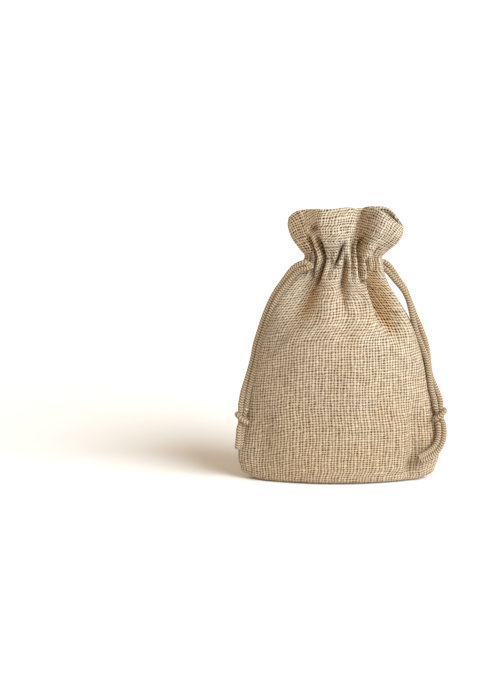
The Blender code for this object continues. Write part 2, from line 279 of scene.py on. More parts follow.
def braided_tube(name, path, knot):
    """A closed braided cord along a path in millimetres, squeezed a little in its knot."""
    side, other = ring_frames(path)
    along = np.concatenate([[0.0], np.cumsum(np.linalg.norm(np.diff(path, axis=0), axis=1))])
    angle = 2 * math.pi * np.arange(SIDES) / SIDES
    lean = CHEVRON * np.abs((np.arange(SIDES) * ROWS_ROUND / SIDES) % 1.0 - 0.5)
    ribs = np.cos(2 * math.pi * (along[:, None] / RIB_PITCH + lean))
    from_end = np.minimum(along, along[-1] - along)[:, None]
    rounded = np.sqrt(np.clip(from_end / (END_ROUND * CORD), 0.0, 1.0)) * (1.0 - END_SIZE) + END_SIZE
    to_knot = np.linalg.norm(path - (knot.across, knot.depth, knot.height), axis=1)[:, None]
    squeezed = 1.0 - KNOT_SQUEEZE * np.exp(-(to_knot / (KNOT_REACH * CORD)) ** 4)
    radius = CORD / 2 * (1.0 + RIB * ribs) * rounded * squeezed
    ring_points = (
        path[:, None, :]
        + radius[..., None] * np.cos(angle)[None, :, None] * side[:, None, :]
        + radius[..., None] * np.sin(angle)[None, :, None] * other[:, None, :]
    )
    mesh = bmesh.new()
    uv = mesh.loops.layers.uv.new("cord_mm")
    rings = [[mesh.verts.new(p * MM) for p in ring] for ring in ring_points]
    side_width = math.pi * CORD / SIDES
    for loop, (ring, column) in skin(mesh, rings):
        loop[uv].uv = (along[ring], column * side_width)
    for ring, end in ((rings[0][::-1], 0), (rings[-1], -1)):
        tip = mesh.verts.new(path[end] * MM)
        for a, b in zip(ring, ring[1:] + ring[:1]):
            face = mesh.faces.new((a, b, tip))
            for loop in face.loops:
                loop[uv].uv = (along[end], 0.0)
    tube = built(name, mesh)
    print(name, f"{along[-1]:.1f} mm long, {len(tube.data.polygons)} faces")
    return tube


def tied_strand(name, legs, knot_turns, knot, tails, side, shorten, replaced):
    """One strand from the neck through the knot to its free end, attached to the body, with the solids it
    replaces hidden.
    """
    route = np.vstack([
        strand_route(legs, side), knot_route(knot_turns, knot), strand_route(tails, side),
    ])
    path = eased(smooth_line(route, RING_STEP), BEND_EASE)
    path = path[:len(path) - round(shorten / RING_STEP)]
    strand = braided_tube(name, path, knot)
    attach(strand, BODY_NAME)
    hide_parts(*replaced)
    round(line_length(path) * MM, 4)
    return strand


strands = [
    tied_strand("strand_right_front", RIGHT_LEGS, KNOT_BAND, RIGHT_KNOT, RIGHT_TAILS, side=-1,
                shorten=0.0, replaced=("cord_right_front", "tail_right_upper", "knot_right")),
    tied_strand("strand_right_back", RIGHT_LEGS, KNOT_CORE, RIGHT_KNOT, RIGHT_TAILS, side=1,
                shorten=1.5, replaced=("cord_right_back", "tail_right_lower")),
    tied_strand("strand_left_front", LEFT_LEGS, KNOT_CORE, LEFT_KNOT, LEFT_TAILS, side=-1,
                shorten=0.0, replaced=("cord_left_front", "tail_left_front", "knot_left")),
    tied_strand("strand_left_back", LEFT_LEGS, KNOT_BAND, LEFT_KNOT, LEFT_TAILS, side=1,
                shorten=1.2, replaced=("cord_left_back", "tail_left_back")),
]

# %% [markdown]
# ## The cloth
# The sack is one sheet: a front and a back panel joined at the side seams and the bottom fold. Its
# rows go once round the sack. Each row starts from a level outline, of the same sizes as the solid,
# and the folds press it inwards. The warp threads run up the columns and the weft threads round the
# rows. Cloth keeps its length, so each row's folds are deepened until the row is about as long as
# the flat cloth is wide, and its columns stand at even steps of cloth. That is how a real drawstring
# gathers cloth: the threads close up gradually towards the gathers and hide in the pleats. A
# simulation would find folds of its own, so the folds that the photograph shows are a table.

# %% Sizes of the sack
PANEL = 100.0      # width of the flat sack between its side seams, in millimetres
THICKNESS = 0.7    # of the cloth
NECK_HEIGHT = 104.0
SEAM_ROUND = 1.9   # half the thickness of the folded side seam
COLUMNS = 320      # threads' columns once round the sack

Section = namedtuple("Section", "height left right front back roundness")
BODY = [
    Section(2.4, -46.4, 45.6, 14.4, 14.0, 0.98), Section(6.0, -47.4, 46.9, 15.3, 14.8, 0.96),
    Section(12.0, -47.4, 47.8, 16.4, 15.8, 0.92), Section(20.0, -46.2, 47.5, 17.8, 17.2, 0.86),
    Section(29.0, -45.0, 46.3, 19.2, 18.8, 0.78), Section(38.0, -43.6, 44.4, 20.8, 20.6, 0.70),
    Section(46.0, -41.8, 42.4, 22.4, 22.4, 0.62), Section(54.0, -40.0, 40.6, 23.8, 24.0, 0.56),
    Section(62.0, -38.2, 38.6, 25.0, 25.6, 0.52), Section(69.0, -36.2, 36.3, 25.6, 26.2, 0.50),
    Section(76.0, -33.8, 33.3, 25.3, 25.8, 0.50), Section(82.5, -31.2, 29.4, 24.0, 24.3, 0.50),
    Section(88.5, -28.2, 25.6, 21.4, 21.2, 0.50), Section(94.0, -24.6, 22.4, 17.6, 17.2, 0.50),
    Section(99.0, -20.2, 20.6, 13.8, 13.2, 0.50), Section(104.0, -16.9, 19.9, 11.4, 11.0, 0.50),
]
# Above the neck a section is told by its share of the way up to the ruffled edge.
RUFFLE = [
    Section(0.00, -16.9, 19.9, 11.4, 11.0, 0.50), Section(0.12, -16.2, 19.5, 11.4, 10.8, 0.52),
    Section(0.28, -18.6, 22.0, 11.5, 10.9, 0.58), Section(0.48, -21.6, 25.8, 11.8, 10.8, 0.68),
    Section(0.70, -23.6, 28.3, 12.0, 10.4, 0.76), Section(0.88, -24.2, 29.0, 11.8, 10.0, 0.80),
    Section(1.00, -23.8, 28.8, 11.4, 9.6, 0.80),
]
RIGHT_CURL = 5.0           # how far the ruffle's right end curls forward at the edge
CURL_RISE = (0.1, 0.8)     # shares of the way up the ruffle between which the curl sets in
CURL_REACH = (8.0, 27.0)   # the same, as distances to the right of the middle
# Height of the ruffled edge, by place round the cloth: 0 and 100 are the side seams, 50 mid front.
Rim = namedtuple("Rim", "place height")
RIM = [
    Rim(0, 123.6), Rim(5, 126.2), Rim(10, 127.6), Rim(18, 128.5), Rim(30, 129.2), Rim(40, 129.2),
    Rim(46, 129.8), Rim(54, 129.9), Rim(60, 128.6), Rim(65, 128.6), Rim(70, 129.2), Rim(76, 128.6),
    Rim(81, 127.4), Rim(85, 125.6), Rim(90, 123.4), Rim(95, 121.4), Rim(100, 120.6), Rim(104, 122.4),
    Rim(107, 124.6), Rim(112, 127.4), Rim(117, 128.7), Rim(124, 129.2), Rim(130, 128.0),
    Rim(140, 125.4), Rim(156, 124.2), Rim(172, 124.8), Rim(188, 124.0), Rim(196, 123.0),
]

# %% [markdown]
# Every fold is a row of this table, and a negative depth is a ridge. Its place is along the level
# outline, 0 to 100 for the front from the left seam and 100 to 200 for the back, and it is as wide
# to its left and right as the table says. A fold fades in from its foot to low, and out from high to
# head, and drifts by its slant for each millimetre below the neck. A fold with a small last number
# is a sharp crease, and one with a large one a blunt trough.

# %% Folds
Fold = namedtuple("Fold", "name place left right depth foot low high head slant blunt")
FOLDS = [
    Fold("slot by the left seam", 17.4, 1.7, 2.2, 6.2, 94, 102, 112, 119, 0.00, 1.6),
    Fold("pinch beside it", 10.5, 1.6, 1.8, 2.2, 94, 101, 107, 113, 0.00, 1.6),
    Fold("pinch in the left part", 23.6, 1.2, 1.4, 1.8, 96, 101, 105, 109, 0.05, 1.5),
    Fold("deep left slot", 26.6, 1.9, 2.6, 8.0, 91, 99, 111, 119, 0.06, 1.7),
    Fold("long left valley", 22.8, 12.0, 10.4, 8.2, 73, 89, 92, 105, 0.02, 2.2),
    Fold("pinch left of the middle", 36.0, 1.4, 1.6, 2.0, 96, 101, 105, 110, 0.10, 1.5),
    Fold("middle notch", 51.6, 2.2, 3.0, 5.6, 87, 96, 103, 110, 0.16, 1.6),
    Fold("slope towards the notch", 50.4, 10.0, 1.4, 3.0, 78, 93, 104, 114, 0.16, 1.4),
    Fold("pinch right of the middle", 58.6, 1.3, 1.8, 4.0, 95, 103, 111, 118, 0.10, 1.5),
    Fold("deep right slot", 66.4, 1.9, 2.8, 6.6, 91, 99, 112, 119, 0.10, 1.6),
    Fold("long right valley", 85.0, 7.5, 4.2, 10.0, 66, 83, 94, 103, -0.28, 2.2),
    Fold("pucker on the right", 75.0, 1.5, 2.0, 4.0, 95, 99, 103, 109, 0.00, 1.6),
    Fold("slot by the right seam", 81.4, 1.4, 2.0, 3.6, 97, 101, 108, 114, 0.00, 1.6),
    Fold("pinch by the right seam", 86.0, 1.6, 1.8, 2.6, 94, 100, 105, 111, 0.00, 1.6),
    Fold("front ridge", 46.0, 6.0, 5.0, -1.4, 60, 80, 94, 102, -0.04, 2.2),
    Fold("right ridge", 63.4, 3.0, 3.6, -1.8, 60, 76, 96, 104, 0.30, 2.0),
    Fold("ridge by the right seam", 87.0, 5.0, 4.0, -2.4, 60, 80, 92, 100, 0.00, 2.2),
    Fold("middle lobe", 44.0, 12.0, 16.0, -1.6, 100, 116, 140, 150, 0.00, 3.0),
    Fold("ruffle's dark valley", 60.4, 4.0, 5.8, 4.3, 103, 112, 118, 142, -0.14, 2.0),
    Fold("slope towards the dark valley", 58.6, 14.0, 2.4, 2.8, 104, 112, 140, 150, -0.12, 1.6),
    Fold("left lobe's edge", 31.0, 9.0, 3.6, -1.4, 108, 118, 140, 150, 0.00, 1.4),
    Fold("right lobe", 77.0, 5.0, 8.0, -1.2, 110, 122, 140, 150, 0.00, 2.2),
    Fold("right seam, back pucker", 112.5, 2.4, 2.8, 4.2, 84, 98, 108, 118, 0.00, 1.6),
    Fold("back valley 1", 125.0, 4.0, 3.2, 5.0, 62, 90, 112, 126, 0.05, 1.7),
    Fold("back valley 2", 136.5, 2.0, 2.4, 4.0, 84, 97, 108, 116, 0.00, 1.5),
    Fold("back valley 3", 148.0, 3.2, 4.4, 5.4, 56, 88, 116, 150, -0.04, 1.7),
    Fold("back valley 4", 160.0, 2.2, 2.6, 4.0, 86, 98, 107, 115, 0.00, 1.5),
    Fold("back valley 5", 172.0, 3.2, 4.0, 5.0, 60, 90, 112, 124, 0.04, 1.7),
    Fold("left seam, back pucker", 186.0, 2.6, 2.4, 4.0, 84, 98, 108, 118, 0.00, 1.6),
    Fold("back lobe's edge", 126.0, 6.0, 6.0, 3.2, 110, 120, 140, 150, 0.00, 2.0),
    Fold("back lobe's edge, left", 170.0, 7.0, 7.0, 3.2, 110, 120, 140, 150, 0.00, 2.0),
    Fold("right corner's valley", 85.0, 2.8, 5.4, 5.4, 1, 8, 27, 44, 0.00, 1.9),
    Fold("left corner's valley", 13.0, 5.0, 5.0, 1.2, 1, 10, 24, 40, 0.00, 2.0),
    Fold("back right corner's valley", 112.0, 4.6, 4.6, 1.6, 1, 10, 26, 40, 0.00, 2.0),
    Fold("back left corner's valley", 188.0, 4.6, 4.6, 1.3, 1, 10, 26, 40, 0.00, 2.0),
]

# %% [markdown]
# Pulled cloth also has slanting creases. Each runs straight from one place and height to another and
# fades at both ends.

# %% Slanting creases
Crease = namedtuple("Crease", "name place height to_place to_height width depth")
CREASES = [
    Crease("right shoulder's pull", 77.0, 66.0, 91.0, 52.0, 2.4, -0.9),
    Crease("under the right shoulder's pull", 73.0, 62.0, 88.0, 46.0, 2.8, 0.8),
    Crease("left shoulder's pull", 26.0, 70.0, 12.0, 56.0, 2.6, -0.8),
    Crease("under the left shoulder's pull", 24.0, 76.0, 10.0, 63.0, 2.6, 0.7),
    Crease("slanting slot in the middle", 48.2, 113.0, 38.6, 102.0, 1.15, 6.0),
    Crease("hook over the left slots", 20.0, 119.5, 27.5, 121.5, 1.4, 2.2),
    Crease("loop of the right pucker", 69.0, 103.0, 75.0, 105.5, 1.4, 2.4),
]
CREASE_IN, CREASE_OUT = (-0.25, 0.3), (0.7, 1.25)   # shares of its length where a crease fades
RIM_SHIFTS = (-2.0, 0.0, 2.0)   # the rim's table is averaged over these, to round its corners


# %% [markdown]
# A few helpers read the tables. Sculpting by hand could give the same folds, but it would be lost
# with every change of a size.

# %% Helpers for tables
def smoothstep(low, high, value):
    """0 below low, 1 above high and a soft step between them."""
    share = np.clip((np.asarray(value, float) - low) / (high - low), 0.0, 1.0)
    return share * share * (3.0 - 2.0 * share)


def read_table(rows, height):
    """A table's values at a height, bending softly through its rows."""
    table = np.array(rows, float)
    at, values = table[:, 0], table[:, 1:]
    slope = np.gradient(values, at, axis=0)
    i = int(np.clip(np.searchsorted(at, height) - 1, 0, len(at) - 2))
    step = at[i + 1] - at[i]
    t = (height - at[i]) / step
    return (
        (2 * t ** 3 - 3 * t ** 2 + 1) * values[i] + (t ** 3 - 2 * t ** 2 + t) * step * slope[i]
        + (3 * t ** 2 - 2 * t ** 3) * values[i + 1] + (t ** 3 - t ** 2) * step * slope[i + 1]
    )


def around_gap(places, middle):
    """Signed distance round the cloth from a place."""
    return (places - middle + PANEL) % (2 * PANEL) - PANEL


def rim_heights(places):
    """Height of the ruffled edge at each place."""
    total = np.zeros_like(places)
    for shift in RIM_SHIFTS:
        total += np.interp(
            places + shift, [r.place for r in RIM], [r.height for r in RIM], period=2 * PANEL
        )
    return total / len(RIM_SHIFTS)


def fold_reach(f, places, heights):
    """Signed distance from a fold's line, and how much of the fold there is at each height."""
    away = around_gap(places, f.place + f.slant * (NECK_HEIGHT - heights))
    return away, smoothstep(f.foot, f.low, heights) * (1.0 - smoothstep(f.high, f.head, heights))


def sum_of_folds(folds, places, heights):
    """How far these folds press the cloth inwards."""
    depth = np.zeros_like(places)
    for f in folds:
        away, run = fold_reach(f, places, heights)
        width = np.where(away < 0.0, f.left, f.right)
        depth += f.depth * np.exp(-np.abs(away / width) ** f.blunt) * run
    return depth


def fold_depths(places, heights):
    """How far the folds and creases press the cloth inwards."""
    depth = sum_of_folds(FOLDS, places, heights)
    for c in CREASES:
        run_place, run_height = c.to_place - c.place, c.to_height - c.height
        length = math.hypot(run_place, run_height)
        from_place, from_height = around_gap(places, c.place), heights - c.height
        along = (from_place * run_place + from_height * run_height) / length ** 2
        across = (from_place * run_height - from_height * run_place) / length
        fade = smoothstep(*CREASE_IN, along) * (1.0 - smoothstep(*CREASE_OUT, along))
        depth += c.depth * np.exp(-(across / c.width) ** 2) * fade
    return depth


# %% [markdown]
# Real cloth is never as smooth as a table. A few long waves of seeded sizes and directions are added
# to the folds, so that the panels undulate a little, and more so near the gathers.

# %% Unevenness
rng = np.random.default_rng(7)
WAVES = 14
wave_count = rng.integers(2, 9, WAVES)             # whole waves round the sack
wave_rise = rng.uniform(-0.16, 0.16, WAVES)        # radians for each millimetre of height
wave_phase = rng.uniform(0.0, 2 * math.pi, WAVES)
wave_size = rng.uniform(0.06, 0.16, WAVES)


def unevenness(places, heights):
    """How far the waves press the cloth inwards: not at the floor, and most near the gathers."""
    turn = places[..., None] * math.pi / PANEL * wave_count + heights[..., None] * wave_rise
    waves = (wave_size * np.sin(turn + wave_phase)).sum(-1)
    return waves * (0.6 + 0.8 * smoothstep(60.0, 100.0, heights)) * smoothstep(0.0, 8.0, heights)


# %% [markdown]
# A level section of the filled sack is an oval that ends in a narrow round at each side seam. A
# formula with a few sizes keeps it smooth, which a drawn outline of many points would not.

# %% Outlines
HALF_OUTLINE = 500   # points along half an outline
END_TURN = 0.01      # radians that the core curve leaves to the seam's round at each end


def half_outline(left, right, deep, roundness):
    """Front or back half of a level section, from the left seam to the right one, evenly spaced."""
    middle, reach = (left + right) / 2.0, (right - left) / 2.0 - SEAM_ROUND
    power = 2.0 * roundness
    turn = np.linspace(END_TURN, math.pi - END_TURN, 600)
    core = np.stack([-reach * np.cos(turn), (deep - SEAM_ROUND) * np.sin(turn) ** power], axis=1)
    along = np.stack([
        reach * np.sin(turn),
        (deep - SEAM_ROUND) * power * np.sin(turn) ** (power - 1.0) * np.cos(turn),
    ], axis=1)
    along /= np.linalg.norm(along, axis=1, keepdims=True)
    outward = np.stack([-along[:, 1], along[:, 0]], axis=1)
    ends = []
    for tip, normal, start in ((core[0], outward[0], math.pi), (core[-1], outward[-1], 0.0)):
        angles = np.linspace(start, math.atan2(normal[1], normal[0]), 16)
        arc = tip + SEAM_ROUND * np.stack([np.cos(angles), np.sin(angles)], axis=1)
        ends.append(arc if start else arc[::-1])
    points = np.concatenate([ends[0][:-1], core + SEAM_ROUND * outward, ends[1][1:]])
    points[:, 0] += middle
    return evenly_spaced(points, HALF_OUTLINE + 1)


def level_outline(values):
    """The closed outline of a section, anticlockwise from the left seam along the front."""
    left, right, front, back, roundness = values
    front_half = half_outline(left, right, front, roundness)[:-1] * (1.0, -1.0)
    back_half = half_outline(left, right, back, roundness)[::-1][:-1]
    return np.concatenate([front_half, back_half])


def pressed(outline, depths):
    """Moves each point of a closed outline inwards, square to it."""
    along = np.roll(outline, -1, axis=0) - np.roll(outline, 1, axis=0)
    along /= np.linalg.norm(along, axis=1, keepdims=True)
    return outline + np.stack([-along[:, 1], along[:, 0]], axis=1) * depths[:, None]


def half_lengths(outline):
    """Lengths of the front and back halves of a closed outline."""
    steps = np.linalg.norm(np.roll(outline, -1, axis=0) - outline, axis=1)
    half = len(steps) // 2
    return np.array([steps[:half].sum(), steps[half:].sum()])


# %% [markdown]
# The rows run from the bottom fold over the flat base, up the body, through the neck and up to the
# ruffled edge. There the cloth turns over and comes down inside, as the hem of such a sack does, so
# the edge shows a rounded fold with two layers.

# %% Rows of the sheet
Row = namedtuple("Row", "kind height inset")
BODY_ROWS, RUFFLE_ROWS, TURN_ROWS, INNER_ROWS = 98, 26, 5, 8
HEM_INSET = 1.55              # from the outer face to the inner face of the folded hem
HEM_SHARES = (0.97, 0.66)     # shares of the ruffle between which the turned-in cloth comes down
CORNER_LIFT = 2.6             # how far a bottom corner stands off the surface
CORNER_REACH = (37.0, 48.0)   # distances from the middle between which the lift sets in
CORNER_TOP = (2.0, 24.0)      # heights between which it fades out
rows = [Row("body", h, 0.0) for h in np.linspace(BODY[0].height, NECK_HEIGHT, BODY_ROWS)]
rows += [Row("ruffle", s, 0.0) for s in np.linspace(0.0, 1.0, RUFFLE_ROWS + 1)[1:]]
rows += [
    Row("turn", t, HEM_INSET / 2 * (1.0 - math.cos(t)))
    for t in np.linspace(0.0, math.pi, TURN_ROWS + 1)[1:]
]
rows += [Row("ruffle", s, HEM_INSET) for s in np.linspace(*HEM_SHARES, INNER_ROWS)]
print(len(rows), "rows above the base")


def corner_lift(across, height):
    """How far the bottom corners lift each point."""
    rise = CORNER_LIFT * smoothstep(*CORNER_REACH, np.abs(across))
    return rise * (1.0 - smoothstep(*CORNER_TOP, height))


def row_outline(row, places, strength):
    """A row's closed outline, its folds deepened by the strength of its front and back."""
    if row.kind == "body":
        values, heights = read_table(BODY, row.height), np.full_like(places, row.height)
    else:
        share = min(row.height, 1.0) if row.kind == "ruffle" else 1.0
        values = read_table(RUFFLE, share)
        heights = NECK_HEIGHT + (rim_heights(places) - NECK_HEIGHT) * share
    outline = level_outline(values)
    if row.kind != "body":
        curl = RIGHT_CURL * smoothstep(*CURL_RISE, share)
        outline[:, 1] -= curl * smoothstep(*CURL_REACH, outline[:, 0])
    depth = fold_depths(places, heights) * np.where(places < PANEL, strength[0], strength[1])
    outline = pressed(outline, depth + unevenness(places, heights))
    return pressed(outline, np.full_like(places, row.inset)) if row.inset else outline


# %% [markdown]
# Each row's folds are as strong as its cloth asks for: the cloth that folds take up grows about
# with the square of their depth. The strength is evened out, so that no fold jumps between rows.

# %% Strength of the folds
MOST_STRENGTH, LEAST_STRENGTH = 1.55, 0.75
NEAR_ROWS, NEAR_WIDTH = 12, 5.0   # rows to each side that even a row out, and how fast they fade
dense_places = np.arange(2 * HALF_OUTLINE) * PANEL / HALF_OUTLINE
strengths = []
for row in rows:
    plain = half_lengths(row_outline(row, dense_places, (0.0, 0.0)))
    folded = half_lengths(row_outline(row, dense_places, (1.0, 1.0)))
    wanted = np.sqrt(np.maximum(PANEL - plain, 0.0) / np.maximum(folded - plain, 0.01))
    strengths.append(np.clip(wanted, LEAST_STRENGTH, MOST_STRENGTH))
strengths = np.array(strengths)
kernel = np.exp(-(np.arange(-NEAR_ROWS, NEAR_ROWS + 1) / NEAR_WIDTH) ** 2)
kernel /= kernel.sum()
padded = np.pad(strengths, ((NEAR_ROWS, NEAR_ROWS), (0, 0)), mode="edge")
strengths = np.stack([np.convolve(padded[:, k], kernel, "valid") for k in (0, 1)], axis=1)
hem_rows = [i for i, r in enumerate(rows) if r.kind == "turn" or r.inset]
strengths[hem_rows] = strengths[hem_rows[0] - 1]
print("fold strengths from", strengths.min().round(2), "to", strengths.max().round(2))

# %% [markdown]
# Where a row is still shorter than the flat cloth, the rest hides in the pleats and at the side
# seams. Each step along the row counts with its share of that cloth, and the columns stand at even
# steps of the sum, so the threads close up towards the gathers and fan out above them.

# %% Where the cloth gathers
PLEATS = [f for f in FOLDS if f.depth > 0.0]
SEAM_CROWD = 1.5      # how much cloth gathers at a side seam, as a fold's depth would tell it
SEAM_WIDTH = 2.0      # how far to each side of the seam it does
CROWD_WIDTH = 0.4     # the same for a pleat, as a share of its narrower side
RUFFLE_CROWD = 0.3    # the share of its depth that a fold of the ruffle alone gathers
RUFFLE_FOOT = 100.0   # a fold that starts at this height or above is one of the ruffle alone
# Heights between which the threads close up towards the neck, and part again above it.
GATHERS_IN, FANS_OUT = (64.0, 102.0), (104.0, 132.0)


def crowding(places, heights):
    """How much cloth gathers at each place: at the side seams and along each pleat's bottom."""
    crowd = np.zeros_like(places)
    for seam in (0.0, PANEL):
        crowd += SEAM_CROWD * np.exp(-(around_gap(places, seam) / SEAM_WIDTH) ** 2)
    gathered = smoothstep(*GATHERS_IN, heights) * (1.0 - smoothstep(*FANS_OUT, heights))
    for f in PLEATS:
        away, run = fold_reach(f, places, heights)
        gathers = f.depth if f.foot < RUFFLE_FOOT else RUFFLE_CROWD * f.depth
        if f.foot < RUFFLE_FOOT and f.head > NECK_HEIGHT:
            run = gathered
        crowd += gathers * np.exp(-(away / (CROWD_WIDTH * min(f.left, f.right))) ** 2) * run
    return crowd


def spaced_row(outline, places, crowd, slope_shade):
    """A row's columns at even steps of cloth, each with its place and the depth of its painted shade."""
    half, count = len(outline) // 2, COLUMNS // 2
    closed = np.column_stack([outline, places, slope_shade])
    closed = np.vstack([closed, closed[:1]])
    closed[-1, 2] = 2 * PANEL
    columns = []
    for part, thick in ((closed[:half + 1], crowd[:half]), (closed[half:], crowd[half:])):
        steps = np.linalg.norm(np.diff(part[:, :2], axis=0), axis=1)
        spare = max(0.0, PANEL - steps.sum())
        cloth = np.concatenate([[0.0], np.cumsum(steps + spare * thick / thick.sum())])
        wanted = np.linspace(0.0, cloth[-1], count + 1)[:-1]
        columns.append(np.stack([np.interp(wanted, cloth, part[:, k]) for k in range(4)], axis=1))
    columns = np.vstack(columns)
    return columns[:, :2], columns[:, 2], columns[:, 3]


# %% [markdown]
# Each row gives its columns' points, and tells the finish how far each is on a pleat's right slope
# or in the ruffle's left lobe. Both face away from the key light, and the finish paints brown shade
# on them.

# %% Points of the sheet
RUFFLE_HEIGHT = 24.0         # about how far the ruffle stands above the neck
FULL_SHADE_DEPTH = 5.5             # depth at which the cloth's painted shade is full
SHADE_FROM = (55.0, 75.0)   # heights between which the painted shade in the body's valleys sets in
# The pleats' right slopes, which face away from the key light, and the ruffle's left lobe get painted shade.
SHADED_SLOPES = [
    f._replace(place=f.place + 0.45 * f.right, left=0.6 * f.right, right=0.65 * f.right)
    for f in PLEATS
]
SHADED_SLOPES.append(
    Fold("ruffle's left lobe", 15.0, 14.0, 14.0, 3.2, 104, 112, 140, 150, 0.00, 4.0)
)
rings, painted_shade = [], []
for row, strength in zip(rows, strengths):
    if row.kind == "body":
        level = row.height
    else:
        level = NECK_HEIGHT + RUFFLE_HEIGHT * (row.height if row.kind == "ruffle" else 1.0)
    levels = np.full_like(dense_places, level)
    flat, places, slope_shade = spaced_row(
        row_outline(row, dense_places, strength), dense_places, crowding(dense_places, levels),
        sum_of_folds(SHADED_SLOPES, dense_places, levels),
    )
    rim = rim_heights(places)
    painted_shade.append(np.clip(slope_shade / FULL_SHADE_DEPTH, 0.0, 1.0) * smoothstep(*SHADE_FROM, level))
    if row.kind == "body":
        height = row.height + corner_lift(flat[:, 0], row.height)
    elif row.kind == "ruffle":
        height = NECK_HEIGHT + (rim - NECK_HEIGHT) * row.height
    else:
        height = rim + HEM_INSET / 2 * math.sin(row.height)
    rings.append(np.column_stack([flat, np.broadcast_to(height, (COLUMNS,))]))

# %% [markdown]
# The base carries the sheet on from its lowest row to the bottom fold, which runs along the middle.
# It lies flat, and its outer part rounds up to the wall.

# %% The base
BASE_SHARES = (0.0, 0.16, 0.32, 0.48, 0.62, 0.74, 0.84, 0.91, 0.96, 0.99)   # from fold to wall
BASE_NARROW = 0.085   # how much narrower the base is along the fold
BASE_FLAT = 0.74      # the share of the base that lies flat
base = []
lowest, middle = rings[0], (BODY[0].left + BODY[0].right) / 2.0
facing = -np.arange(COLUMNS) % COLUMNS
for deep in BASE_SHARES:
    mirrored = (1.0 - deep) / 2.0
    across = lowest[:, 0] * (1.0 - mirrored) + lowest[facing, 0] * mirrored
    across = middle + (across - middle) * (1.0 - BASE_NARROW * (1.0 - deep ** 2))
    past_flat = max(0.0, (deep - BASE_FLAT) / (1.0 - BASE_FLAT))
    rise = BODY[0].height * (1.0 - math.sqrt(1.0 - past_flat ** 2))
    at_wall = corner_lift(lowest[:, 0], BODY[0].height)
    height = corner_lift(across, 0.0) * (1.0 - deep) + at_wall * deep + rise
    base.append(np.column_stack([across, lowest[:, 1] * deep, height]))
sheet_points = np.array(base + rings)
painted_shade = np.array([np.zeros(COLUMNS)] * len(base) + painted_shade)
row_lengths = np.linalg.norm(np.roll(sheet_points, -1, axis=1) - sheet_points, axis=2).sum(1)
print(f"{len(sheet_points)} rows of {COLUMNS}; above the base they are "
      f"{row_lengths[len(base):].min():.0f} to {row_lengths.max():.0f} mm round")

# %% [markdown]
# The sheet has two UV maps. The first is the flat cloth itself, in millimetres round the sack and up
# from the bottom fold. The second counts the yarns, so the weave follows the cloth through every
# fold. The upright warp yarns stand at one pitch. The weft yarns are counted up the middle of the
# front, folds left out, so that each runs level round the sack. They lie closer near the bottom,
# where the sack stands on them. As the photograph shows, they fall off a little towards the left
# seam, and in the ruffle towards the right seam too.

# %% Yarns of the sheet
WARP_PITCH = 1.45     # millimetres from one upright yarn to the next
Pitch = namedtuple("Pitch", "along pitch")
WEFT_PITCHES = [
    Pitch(0.0, 1.06), Pitch(20.0, 1.09), Pitch(34.0, 1.18), Pitch(50.0, 1.27), Pitch(66.0, 1.27),
    Pitch(78.0, 1.24), Pitch(95.0, 1.30), Pitch(112.0, 1.28), Pitch(124.0, 1.30), Pitch(180.0, 1.34),
]
LEFT_DROP, LEFT_REACH = 7.0, 26.0       # how far the yarns fall at the left seam, and from how far
RIGHT_DROP, RIGHT_REACH = 4.0, 20.0     # the same for the ruffle's yarns at the right seam
RIGHT_FALL = (92.0, 122.0)              # heights between which that fall sets in
RULER_LENGTH, RULER_STEP = 220.0, 0.5   # millimetres of cloth along which the wefts are counted

column_places = np.arange(COLUMNS) * 2 * PANEL / COLUMNS
middle_of_front = COLUMNS // 4
profile = []
for row in rows:
    plain = row_outline(row, dense_places, (0.0, 0.0))[len(dense_places) // 4]
    profile.append((plain[1], sheet_points[len(base) + len(profile), middle_of_front, 2]))
profile = np.vstack([sheet_points[:len(base), middle_of_front, 1:], profile])
up = np.concatenate([[0.0], np.cumsum(np.linalg.norm(np.diff(profile, axis=0), axis=1))])
ruler = np.arange(0.0, RULER_LENGTH, RULER_STEP)
pitches = np.interp(ruler, [p.along for p in WEFT_PITCHES], [p.pitch for p in WEFT_PITCHES])
left_fall = LEFT_DROP * np.exp(-(around_gap(column_places, 0.0) / LEFT_REACH) ** 2)
right_fall = RIGHT_DROP * np.exp(-(around_gap(column_places, PANEL) / RIGHT_REACH) ** 2)
in_ruffle = smoothstep(*RIGHT_FALL, profile[:, 1])
counted = up[:, None] + left_fall + right_fall * in_ruffle[:, None]
wefts = np.interp(counted, ruler, np.cumsum(RULER_STEP / pitches))
WARPS = 2 * round(PANEL / WARP_PITCH)
neck_row = len(base) + BODY_ROWS - 1
print(f"cloth from the bottom fold to the gathers {up[neck_row]:.0f} mm and to the edge "
      f"{up[neck_row + RUFFLE_ROWS]:.0f} mm")
print(f"{WARPS} warp yarns round the sack and {wefts.max():.0f} weft yarns up it")

# %% [markdown]
# The grid of points becomes one mesh that carries both maps, and the bottom fold closes it. A
# Solidify modifier then gives it the cloth's thickness inwards, so the outline keeps its size.

# %% Build the sheet
WELD = 0.01   # points of the bottom fold that are nearer than this become one
mesh = bmesh.new()
uv = mesh.loops.layers.uv.new("cloth_mm")
yarns = mesh.loops.layers.uv.new("yarns")
painted_shade_layer = mesh.verts.layers.float.new("painted_shade")
grid = [[mesh.verts.new(p * MM) for p in ring] for ring in sheet_points]
for ring, shares in zip(grid, painted_shade):
    for vertex, share in zip(ring, shares):
        vertex[painted_shade_layer] = share
for loop, (ring, column) in skin(mesh, grid):
    loop[uv].uv = (column * 2 * PANEL / COLUMNS, up[ring])
    loop[yarns].uv = (column * WARPS / COLUMNS, wefts[ring, column % COLUMNS])
bmesh.ops.remove_doubles(mesh, verts=grid[0], dist=WELD * MM)
sack = built("burlap_sack", mesh)
wall = sack.modifiers.new("cloth thickness", "SOLIDIFY")
wall.thickness, wall.offset = THICKNESS * MM, -1.0
wall.use_even_offset = False
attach(sack, BODY_NAME)
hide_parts("sack_cloth")

# %% [markdown]
# ## Finishes
# Colours are written as they look on a screen, in sRGB hex, and one function turns them to the
# linear numbers that a shader wants. Another small function adds a node with its settings and links.

